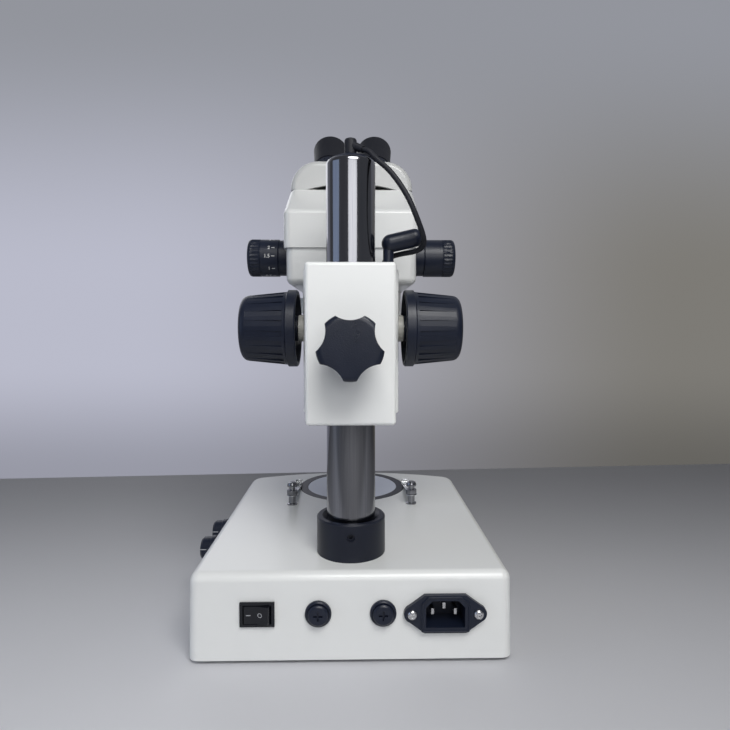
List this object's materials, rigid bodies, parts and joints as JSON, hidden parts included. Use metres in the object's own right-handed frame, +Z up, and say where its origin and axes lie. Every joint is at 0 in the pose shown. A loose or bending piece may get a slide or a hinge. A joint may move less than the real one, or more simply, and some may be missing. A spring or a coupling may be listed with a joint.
{
  "type": "binocular stereo microscope",
  "caption": "Binocular stereo zoom microscope on a chrome pillar stand: lit base with stage plate and clips, rack focus bracket, star clamp knob, turning head with tilted eyepieces.",
  "frame": {"origin": "centre of the stage plate's top face, on the optical axis of the head", "axes": "+Z up, +X to the user's right, -Y towards the user, who sits at the eyepieces; the pillar and the mains inlet are at +Y"},
  "size_m": [0.2081, 0.3508, 0.4163],
  "materials": {
    "white_paint": "satin white paint",
    "black_plastic": "moulded black plastic",
    "black_metal": "satin black paint",
    "steel": "turned steel",
    "chrome": "polished plate",
    "rubber": "soft black rubber",
    "lens_glass": "coated lens glass",
    "cover_steel": "grey coated sheet",
    "screw_steel": "nickel plated",
    "spring_steel": "spring strip",
    "frosted_glass": "frosted top",
    "switch_black": "glossy moulding",
    "board_green": "circuit board",
    "white_plastic": "off-white moulding",
    "grey_plastic": "grey moulding",
    "slide_aluminium": "milled",
    "nose_aluminium": "light satin paint",
    "rack_brass": "milled"
  },
  "bodies": {
    "stand": {"base_housing": "white_paint", "base_cover": "cover_steel", "panel_screws": "screw_steel", "rubber_feet": "rubber", "stage_ring": "black_metal", "stage_plate": "frosted_glass", "clip_posts": "chrome", "pillar_collar": "black_metal", "switch_frame": "switch_black", "fuse_holders": "black_plastic", "mains_inlet": "black_plastic", "inlet_pins": "screw_steel", "power_board": "board_green", "base_lamp": "white_plastic", "dimmers": "grey_plastic"},
    "rocker": {"switch_rocker": "switch_black"},
    "fuse_left": {"fuse_cap_left": "black_plastic"},
    "fuse_right": {"fuse_cap_right": "black_plastic"},
    "brightness_front": {"brightness_knob_front": "black_plastic"},
    "brightness_rear": {"brightness_knob_rear": "black_plastic"},
    "clip_left": {"clip_spring_left": "spring_steel"},
    "clip_right": {"clip_spring_right": "spring_steel"},
    "column": {"pillar": "chrome", "pillar_socket": "black_plastic", "lamp_plug": "rubber", "lamp_lead": "rubber"},
    "bracket": {"focus_bracket": "white_paint", "shaft_bushes": "white_plastic", "lead_hook": "black_plastic", "lead_tail": "rubber", "lamp_arm": "black_metal"},
    "clamp": {"clamp_screw": "steel", "clamp_knob": "black_plastic"},
    "lamp": {"lamp_housing": "black_metal", "lamp_lens": "lens_glass"},
    "pinion": {"pinion_shaft": "steel", "focus_knob_left": "black_plastic", "focus_knob_right": "black_plastic"},
    "slide": {"focus_slide": "slide_aluminium", "focus_rack": "rack_brass", "head_ring": "white_paint"},
    "ring_lock": {"ring_screw": "black_plastic"},
    "head": {"head_lower": "white_paint", "head_upper": "white_paint", "prism_hood": "white_paint", "objective_barrel": "nose_aluminium", "objective_lens": "lens_glass"},
    "zoom": {"zoom_shaft": "steel", "zoom_knob_left": "black_plastic", "zoom_knob_right": "black_plastic"},
    "eye_left": {"eye_drum_left": "white_paint"},
    "eye_right": {"eye_drum_right": "white_paint"},
    "dioptre_left": {"dioptre_ring_left": "black_plastic", "eyepiece_left": "black_metal", "eye_lens_left": "lens_glass", "eyecup_left": "rubber"},
    "dioptre_right": {"dioptre_ring_right": "black_plastic", "eyepiece_right": "black_metal", "eye_lens_right": "lens_glass", "eyecup_right": "rubber"}
  },
  "joints": [
    {"name": "power_switch", "type": "hinge", "parent": "stand", "child": "rocker", "pos_m": [0.0562, 0.1874, -0.0246], "axis": [0, 0, 1], "range_deg": [0, 16]},
    {"name": "fuse_turn_left", "type": "hinge", "parent": "stand", "child": "fuse_left", "pos_m": [-0.0196, 0.188, -0.0246], "axis": [0, 1, 0], "range_deg": [0, 90]},
    {"name": "fuse_turn_right", "type": "hinge", "parent": "stand", "child": "fuse_right", "pos_m": [0.0196, 0.188, -0.0246], "axis": [0, 1, 0], "range_deg": [0, 90]},
    {"name": "stage_light_front", "type": "hinge", "parent": "stand", "child": "brightness_front", "pos_m": [0.098, 0.077, -0.0142], "axis": [1, 0, 0], "range_deg": [-135, 135]},
    {"name": "stage_light_rear", "type": "hinge", "parent": "stand", "child": "brightness_rear", "pos_m": [0.098, 0.112, -0.0142], "axis": [1, 0, 0], "range_deg": [-135, 135]},
    {"name": "clip_swing_left", "type": "hinge", "parent": "stand", "child": "clip_left", "pos_m": [-0.0498, 0.055, 0.0076], "axis": [0, 0, 1], "range_deg": [-60, 40]},
    {"name": "clip_swing_right", "type": "hinge", "parent": "stand", "child": "clip_right", "pos_m": [0.0498, 0.055, 0.0076], "axis": [0, 0, 1], "range_deg": [-40, 60]},
    {"name": "pillar_swing", "type": "hinge", "parent": "stand", "child": "column", "pos_m": [0, 0.152, 0], "axis": [0, 0, 1], "range_deg": [-90, 90]},
    {"name": "bracket_height", "type": "slide", "parent": "column", "child": "bracket", "axis": [0, 0, 1], "range_m": [-0.04, 0.06], "deforming": ["lamp_lead"]},
    {"name": "clamp_turn", "type": "hinge", "parent": "bracket", "child": "clamp", "pos_m": [0, 0.18, 0.1365], "axis": [0, 1, 0], "range_deg": [0, 360]},
    {"name": "lamp_tilt", "type": "hinge", "parent": "bracket", "child": "lamp", "pos_m": [0, 0.09, 0.08], "axis": [1, 0, 0], "range_deg": [-20, 20]},
    {"name": "focus_slide", "type": "slide", "parent": "bracket", "child": "slide", "axis": [0, 0, 1], "range_m": [-0.022, 0.022]},
    {"name": "focus_turn", "type": "hinge", "parent": "bracket", "child": "pinion", "pos_m": [0, 0.122, 0.147], "axis": [1, 0, 0], "range_deg": [-185, 185]},
    {"name": "ring_lock_turn", "type": "hinge", "parent": "slide", "child": "ring_lock", "pos_m": [0.045, 0, 0.1677], "axis": [1, 0, 0], "range_deg": [0, 360]},
    {"name": "head_turn", "type": "hinge", "parent": "slide", "child": "head", "pos_m": [0, 0, 0.17], "axis": [0, 0, 1], "continuous": true},
    {"name": "zoom_turn", "type": "hinge", "parent": "head", "child": "zoom", "pos_m": [0, 0.042, 0.206], "axis": [1, 0, 0], "range_deg": [-140, 140]},
    {"name": "eye_spread_right", "type": "hinge", "parent": "head", "child": "eye_right", "pos_m": [0.0281, -0.04296, 0.24746], "axis": [0, -0.7071, 0.7071], "range_deg": [-85, 0]},
    {"name": "eye_spread_left", "type": "hinge", "parent": "head", "child": "eye_left", "pos_m": [-0.0281, -0.04296, 0.24746], "axis": [0, -0.7071, 0.7071], "range_deg": [0, 85]},
    {"name": "dioptre_turn_right", "type": "hinge", "parent": "eye_right", "child": "dioptre_right", "pos_m": [0.02451, -0.0869, 0.30535], "axis": [0, -0.7071, 0.7071], "range_deg": [-90, 90]},
    {"name": "dioptre_turn_left", "type": "hinge", "parent": "eye_left", "child": "dioptre_left", "pos_m": [-0.02451, -0.0869, 0.30535], "axis": [0, -0.7071, 0.7071], "range_deg": [-90, 90]}
  ],
  "couplings": [
    {"joint": "focus_turn", "follows": "focus_slide", "rad_per_m": -142.86},
    {"joint": "eye_spread_left", "follows": "eye_spread_right", "ratio": -1}
  ]
}
